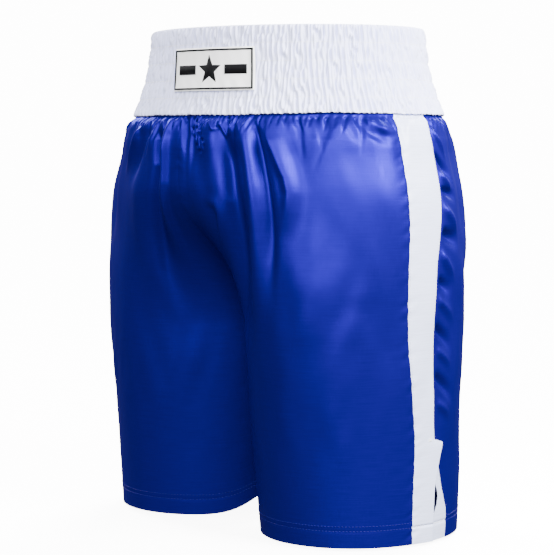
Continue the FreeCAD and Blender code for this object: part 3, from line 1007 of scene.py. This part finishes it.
def build_hem_stitching():
    for name, side in SIDES.items():
        paths = []
        for z in (HEM_Z - 2 * MM, HEM_ROW_Z):
            front, back = (edge(np.array([z]))[0] for edge in (stripe_front, stripe_back))
            for low, high in ((0.006, front - 0.002), (back + 0.002, 0.994)):
                u = np.linspace(low, high, 240)
                paths.append(cloth_path(side, u, np.full_like(u, z), 0.12 * MM))
        stitches("hem_stitches_" + name, "hem_stitching_" + name, paths, HEM_STITCH, "blue_thread")
        build_vent_stitching(name, side)


def build_vent_stitching(name, side):
    row = np.array([HEM_ROW_Z])
    for half, low, high, lift in (
        ("front", stripe_front(row) + 0.002, front_flap_edge(row) - 0.001, 0.3 * MM),
        ("back", back_flap_front(row) + 0.001, stripe_back(row) - 0.001, -0.45 * MM),
    ):
        u = np.linspace(low[0], high[0], 40)
        path = cloth_path(side, u, np.full_like(u, HEM_ROW_Z), lift)
        node = f"vent_{half}_flap_stitching_{name}"
        stitches(f"vent_{half}_stitches_{name}", node, [path], VENT_STITCH, flap=(name, half))


def build_stripe_stitching():
    z = np.linspace(VENT_Z + 12 * MM, WAIST_Z - 8 * MM, 260)
    inset = 1.6 * MM
    edges = (seam_edge(STRIPE_FRONT, inset)(z), seam_edge(STRIPE_BACK, -inset)(z))
    for name, side in SIDES.items():
        paths = [cloth_path(side, u, z, 0.08 * MM) for u in edges]
        stitches("stripe_stitches_" + name, "stripe_stitching_" + name, paths, STRIPE_STITCH)


def build_bar_tacks():
    """Close rows of stitches that lock the top of each vent."""
    end = FRONT_FLAP_EDGE[0][1]
    for name, side in SIDES.items():
        paths = []
        for up in (2.2, 2.9, 3.6, 4.3):
            z = np.full(12, VENT_Z + up * MM)
            paths.append(cloth_path(side, side_u(np.linspace(end - 7 * MM, end, 12), z), z, 0.2 * MM))
        stitches("bar_tack_" + name, "vent_bar_tack_" + name, paths, BAR_TACK_STITCH)


def band_row(level, out):
    angle = np.linspace(0, 2 * PI, 1200)
    z = np.full_like(angle, WAIST_Z + BAND_HEIGHT * level / CHANNELS)
    size = fullness(angle) * STITCHED_SHARE * gather_height(angle, np.full_like(angle, level))
    reach = size * flattened(angle, z) + out
    points = band_point(angle, z, reach)
    return points, unit(band_point(angle, z, reach + 1 * MM) - points)


def build_band_stitching():
    rows = [band_row(i, 0.1 * MM) for i in range(1, CHANNELS)]
    stitches("waistband_stitches", "waistband_stitching", rows, BAND_STITCH)
    foot = [band_row(0.30, 0.9 * MM)]
    stitches("waist_seam_stitches", "waist_seam_stitching", foot, FOOT_STITCH)


def build_size_tab():
    """Blank woven tab sewn inside the back of the waistband."""
    (x0, _, z0), (x1, _, z1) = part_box("size_tab")
    x, z = np.meshgrid(np.linspace(x0, x1, 24), np.linspace(z0, z1, 20))
    a, _ = half_sizes(BAND_SECTIONS, z)
    curl = ((z - z0) / (z1 - z0) - 1) ** 2
    points = band_point(PI - np.arcsin(x / a), z, -5.6 * MM - 2.0 * MM * curl)
    obj = cloth_shell("size_tab_cloth", points, np.stack([x, z], -1), 0.5 * MM)
    finish_piece(obj, "label_white", "size_tab")


# ---- the label

LABEL_FACE = 3.4 * MM
LABEL_THICKNESS = 0.9 * MM
# Levels of the underside and the face of the black weave
WEAVE_LEVELS = (LABEL_FACE - 0.3 * MM, LABEL_FACE + 0.45 * MM)
# Nominal size of the label and the reach of the star's points and notches, in millimetres
LABEL_WIDTH, LABEL_HEIGHT = 106, 44
STAR_POINT, STAR_NOTCH = 15.5, 6.4
STAR_MIDDLE = (0.5, 0.48)
# Bars of the border and of the emblem, in shares of the label: left, right, bottom, top
BORDER_BARS = (
    (0.014, 0.986, 0.034, 0.075), (0.014, 0.986, 0.925, 0.966),
    (0.014, 0.031, 0.034, 0.966), (0.969, 0.986, 0.034, 0.966),
)
EMBLEM_BARS = ((0.08, 0.32, 0.38, 0.60), (0.68, 0.92, 0.38, 0.60))


def label_point(x_share, z_share, out):
    """Point over the label at shares of its width and height."""
    width, _, height = np.subtract(LABEL_HIGH, LABEL_LOW)
    z = LABEL_LOW[2] + LABEL_NUDGE[1] + height * z_share
    a, _ = half_sizes(BAND_SECTIONS, z)
    x = LABEL_LOW[0] + LABEL_NUDGE[0] + width * x_share - LABEL_LEAN * (z - LABEL_LOW[2])
    return band_point(np.arcsin(x / (a + LABEL_FACE)), z, out)


def build_label():
    """Woven patch with a plain border, a star and two bars."""
    sx, sz = np.meshgrid(np.linspace(0, 1, 120), np.linspace(0, 1, 50))
    edge = np.minimum(np.minimum(sx, 1 - sx) * LABEL_WIDTH, np.minimum(sz, 1 - sz) * LABEL_HEIGHT)
    ripple = 0.22 * MM * np.sin(sx * 46 + 2.0 * np.sin(sz * 4)) * np.sin(sz * 7 + 1)
    out = LABEL_FACE - 0.9 * MM * np.exp(-edge / 1.2) + ripple
    uv = np.stack([sx * LABEL_WIDTH, sz * LABEL_HEIGHT], -1) * MM
    obj = cloth_shell("front_label_patch", label_point(sx, sz, out), uv, LABEL_THICKNESS)
    finish_piece(obj, "label_white", "front_label")
    build_weave("front_label_frame", "front_label_border", [plate(*bar) for bar in BORDER_BARS])
    build_weave("front_label_star", "front_label_emblem", [plate(*bar) for bar in EMBLEM_BARS] + [star()])


def build_weave(name, node, shapes):
    """One black piece of the label, joined from raised shapes."""
    points, faces = [], []
    for shape_points, shape_faces in shapes:
        faces.append(shape_faces + sum(map(len, points)))
        points.append(shape_points)
    obj = new_mesh(name, np.concatenate(points), np.concatenate(faces))
    finish_piece(obj, "label_black", node)


def raised(sx, sz, tops, outline):
    """Points and faces of a thin raised shape, from its flat faces and its outline."""
    count = len(sx)
    points = [label_point(sx, sz, np.full(count, out)) for out in WEAVE_LEVELS]
    after = np.roll(outline, -1)
    rim = np.stack([outline, after, after + count, outline + count], -1)
    return np.concatenate(points), np.concatenate([tops + count, tops[:, ::-1], rim])


def plate(x0, x1, z0, z1):
    columns = max(2, int((x1 - x0) * 60) + 2)
    sx = np.tile(np.linspace(x0, x1, columns), 2)
    sz = np.repeat([z0, z1], columns)
    index = np.arange(2 * columns)
    outline = np.concatenate([index[:columns], index[:columns - 1:-1]])
    return raised(sx, sz, quads(2, columns), outline)


def star():
    """Five-pointed star, with a kite from its middle to each point."""
    corner = np.arange(10)
    turn = PI / 2 + PI / 5 * corner
    reach = np.where(corner % 2, STAR_NOTCH, STAR_POINT)
    sx = np.append(reach * np.cos(turn) / LABEL_WIDTH, 0) + STAR_MIDDLE[0]
    sz = np.append(reach * np.sin(turn) / LABEL_HEIGHT, 0) + STAR_MIDDLE[1]
    kites = np.array([(10, (i - 1) % 10, i, i + 1) for i in range(0, 10, 2)])
    return raised(sx, sz, kites, corner)


# ---- stage, light and camera


FLOOR_SIZE = 90.0
FLOOR_WHITE = 0.93
FLOOR_GLOW = 9.0
AMBIENT_ABOVE = 0.72
AMBIENT_BELOW = 0.17
# Soft lights far away: azimuth, elevation, power and spread in degrees
SUNS = {
    "fill": (32, 24, 6.2, 45),
    "left": (-95, 38, 7.0, 20),
    "back": (200, 42, 13.0, 30),
}
# Soft box close above the wearer's left side: place, width and power
KEY_PLACE = (1.0, 0.03, 0.98)
KEY_WIDTH = 0.55
KEY_POWER = 61
KEY_AIM = (0, 0, 0.35)


def build_stage():
    s = FLOOR_SIZE
    mesh = bpy.data.meshes.new("floor")
    mesh.from_pydata([(-s, -s, 0), (s, -s, 0), (s, s, 0), (-s, s, 0)], [], [(0, 1, 2, 3)])
    floor = add_object("floor", mesh)
    glow = {"Emission_Strength": FLOOR_GLOW, "Emission_Color": (1, 1, 1, 1)}
    white = material("floor", (FLOOR_WHITE,) * 3, 1.0, Specular_IOR_Level=0.0, **glow)
    mesh.materials.append(white)
    floor.visible_glossy = False
    floor.visible_diffuse = False


def floor_brightness():
    """Brightness of the open floor, which the background takes on so that no horizon shows."""
    level = sum(power * math.sin(math.radians(up)) for _, up, power, _ in SUNS.values())
    return FLOOR_GLOW + FLOOR_WHITE * (AMBIENT_ABOVE + level / PI)


def build_world():
    """Grey surroundings, lighter above, behind an open background as bright as the floor."""
    world = bpy.data.worlds.new("studio")
    world.use_nodes = True
    tree = world.node_tree
    direction = add_node(tree, "TexCoord", "Generated")
    up = add_node(tree, "SeparateXYZ", "Z", Vector=direction)
    height = add_node(tree, "MapRange", Value=up, From_Min=-0.15, From_Max=0.6)
    fill(tree, height, To_Min=AMBIENT_BELOW, To_Max=AMBIENT_ABOVE)
    seen = add_node(tree, "LightPath", "Is Camera Ray")
    mix = add_node(tree, "Mix", data_type="FLOAT")
    fill(tree, mix, Factor=seen, A=height.outputs["Result"], B=floor_brightness())
    fill(tree, tree.nodes["Background"], Color=(1, 1, 1, 1), Strength=mix.outputs["Result"])
    bpy.context.scene.world = world


def aim(obj, place, target):
    obj.location = place
    obj.rotation_euler = (Vector(target) - Vector(place)).to_track_quat("-Z", "Y").to_euler()


def build_lights():
    for name, (azimuth, elevation, power, spread) in SUNS.items():
        data = bpy.data.lights.new(name, "SUN")
        data.energy = power
        data.angle = math.radians(spread)
        sun = add_object(name, data)
        sun.rotation_euler = (math.radians(90 - elevation), 0, math.radians(azimuth))
    data = bpy.data.lights.new("key", "AREA")
    data.size = KEY_WIDTH
    data.energy = KEY_POWER
    aim(add_object("key", data), KEY_PLACE, KEY_AIM)


# Camera: azimuth in degrees, then its distance, height, height it aims at and shift to the right
AZIMUTH = 44.9
DISTANCE, HEIGHT, AIM_HEIGHT, SHIFT = 1.979, 0.4125, 0.2604, -0.0086
SENSOR = 36.0
LENS = SENSOR * 1830 / 555


def build_camera():
    azimuth = math.radians(AZIMUTH)
    sine, cosine = math.sin(azimuth), math.cos(azimuth)
    data = bpy.data.cameras.new("camera")
    data.sensor_width = SENSOR
    data.lens = LENS
    camera = add_object("camera", data)
    shift = Vector((cosine, sine, 0)) * SHIFT
    place = Vector((sine * DISTANCE, -cosine * DISTANCE, HEIGHT))
    aim(camera, place + shift, Vector((0, 0, AIM_HEIGHT)) + shift)
    bpy.context.scene.camera = camera


def dress_nodes():
    """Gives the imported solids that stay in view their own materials."""
    slots = {s["node"]: s["material_slot"] for s in frame["record"]["subparts"]}
    for name, obj in frame["nodes"].items():
        obj.data.materials.clear()
        obj.data.materials.append(MATERIALS[slots[name]])


dress_nodes()
build_satin()
build_inside()
build_band()
build_elastic()
build_band_stitching()
build_hem_stitching()
build_stripe_stitching()
build_bar_tacks()
build_size_tab()
build_label()
build_stage()
build_world()
build_lights()
build_camera()
